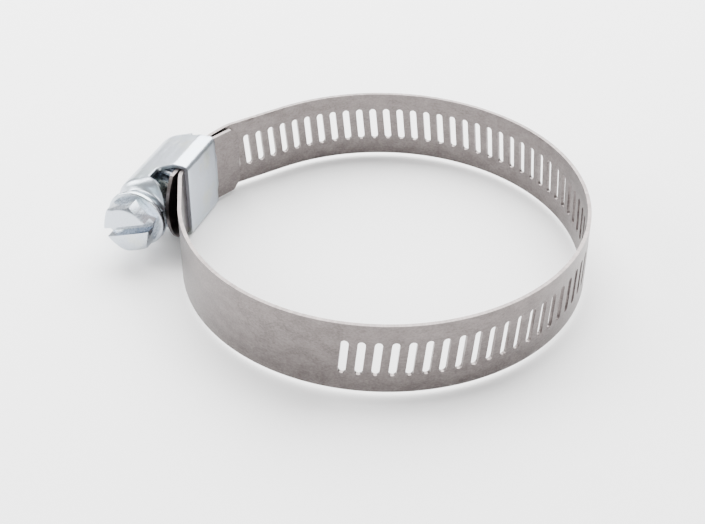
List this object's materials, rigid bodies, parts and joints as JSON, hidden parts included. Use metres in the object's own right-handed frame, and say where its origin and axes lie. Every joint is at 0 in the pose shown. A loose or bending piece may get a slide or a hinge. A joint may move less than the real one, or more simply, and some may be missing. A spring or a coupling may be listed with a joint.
{
  "type": "worm drive pipe clamp",
  "caption": "Worm-drive clamp for hose and pipe: a slotted steel band closed round the pipe by a hex-head screw in a one-piece housing.",
  "frame": {"origin": "centre of the clamped bore, at the middle of the band's width", "axes": "+Z along the bore; -X from the bore's centre to the screw housing; -Y the way the screw's head points"},
  "size_m": [0.0794, 0.0682, 0.0142],
  "materials": {
    "stainless_band": "rolled stainless strip, satin with fine mottle",
    "zinc_housing": "stamped sheet, bright zinc plate",
    "zinc_screw": "cold headed steel, bright zinc plate"
  },
  "bodies": {
    "housing": {"housing": "zinc_housing", "band_anchor": "stainless_band"},
    "worm_screw": {"worm_screw": "zinc_screw"},
    "band_tail": {"band_tail": "stainless_band"},
    "band_tail_tip": {"band_tail_tip": "stainless_band"},
    "band_link_1": {"band_link_1": "stainless_band"},
    "band_link_2": {"band_link_2": "stainless_band"},
    "band_link_3": {"band_link_3": "stainless_band"},
    "band_link_4": {"band_link_4": "stainless_band"},
    "band_link_5": {"band_link_5": "stainless_band"},
    "band_link_6": {"band_link_6": "stainless_band"},
    "band_link_7": {"band_link_7": "stainless_band"},
    "band_link_8": {"band_link_8": "stainless_band"},
    "band_link_9": {"band_link_9": "stainless_band"}
  },
  "joints": [
    {"name": "tail_feed", "type": "slide", "parent": "housing", "child": "band_tail", "axis": [0, -1, 0], "range_m": [0, 0.00508]},
    {"name": "screw_turn", "type": "hinge", "parent": "housing", "child": "worm_screw", "pos_m": [-0.03988, 0, 0], "axis": [0, 1, 0], "range_deg": [0, 722]},
    {"name": "tail_tip_bend", "type": "hinge", "parent": "band_tail", "child": "band_tail_tip", "pos_m": [-0.03548, -0.00396, 0], "axis": [0, 0, 1], "range_deg": [0, 30.72]},
    {"name": "band_bend_1", "type": "hinge", "parent": "band_tail", "child": "band_link_1", "pos_m": [-0.03548, 0.0062, 0], "axis": [0, 0, 1], "range_deg": [0, 21.68]},
    {"name": "band_bend_2", "type": "hinge", "parent": "band_link_1", "child": "band_link_2", "pos_m": [-0.03087, 0.01511, 0], "axis": [0, 0, 1], "range_deg": [-22.49, 0]},
    {"name": "band_bend_3", "type": "hinge", "parent": "band_link_2", "child": "band_link_3", "pos_m": [-0.02785, 0.01919, 0], "axis": [0, 0, 1], "range_deg": [0, 8.64]},
    {"name": "band_bend_4", "type": "hinge", "parent": "band_link_3", "child": "band_link_4", "pos_m": [-0.00724, 0.03302, 0], "axis": [0, 0, 1], "range_deg": [-0.69, 0]},
    {"name": "band_bend_5", "type": "hinge", "parent": "band_link_4", "child": "band_link_5", "pos_m": [0.01725, 0.02907, 0], "axis": [0, 0, 1], "range_deg": [-0.79, 0]},
    {"name": "band_bend_6", "type": "hinge", "parent": "band_link_5", "child": "band_link_6", "pos_m": [0.03165, 0.01187, 0], "axis": [0, 0, 1], "range_deg": [-1.04, 0]},
    {"name": "band_bend_10", "type": "hinge", "parent": "housing", "child": "band_link_9", "pos_m": [-0.02945, -0.01658, 0], "axis": [0, 0, 1], "range_deg": [0, 1.17]},
    {"name": "band_bend_9", "type": "hinge", "parent": "band_link_9", "child": "band_link_8", "pos_m": [-0.01079, -0.03203, 0], "axis": [0, 0, 1], "range_deg": [0, 1.34]},
    {"name": "band_bend_8", "type": "hinge", "parent": "band_link_8", "child": "band_link_7", "pos_m": [0.01399, -0.03077, 0], "axis": [0, 0, 1], "range_deg": [0, 1.46]}
  ],
  "couplings": [
    {"joint": "screw_turn", "follows": "tail_feed", "rad_per_m": 2473.7},
    {"joint": "tail_tip_bend", "follows": "tail_feed", "rad_per_m": 87.954},
    {"joint": "band_bend_1", "follows": "tail_feed", "rad_per_m": 62.067},
    {"joint": "band_bend_2", "follows": "tail_feed", "rad_per_m": -64.403},
    {"joint": "band_bend_3", "follows": "tail_feed", "rad_per_m": 24.727},
    {"joint": "band_bend_4", "follows": "tail_feed", "rad_per_m": -1.9758},
    {"joint": "band_bend_5", "follows": "tail_feed", "rad_per_m": -2.265},
    {"joint": "band_bend_6", "follows": "tail_feed", "rad_per_m": -2.9729},
    {"joint": "band_bend_10", "follows": "tail_feed", "rad_per_m": 3.3367},
    {"joint": "band_bend_9", "follows": "tail_feed", "rad_per_m": 3.8503},
    {"joint": "band_bend_8", "follows": "tail_feed", "rad_per_m": 4.1679}
  ]
}
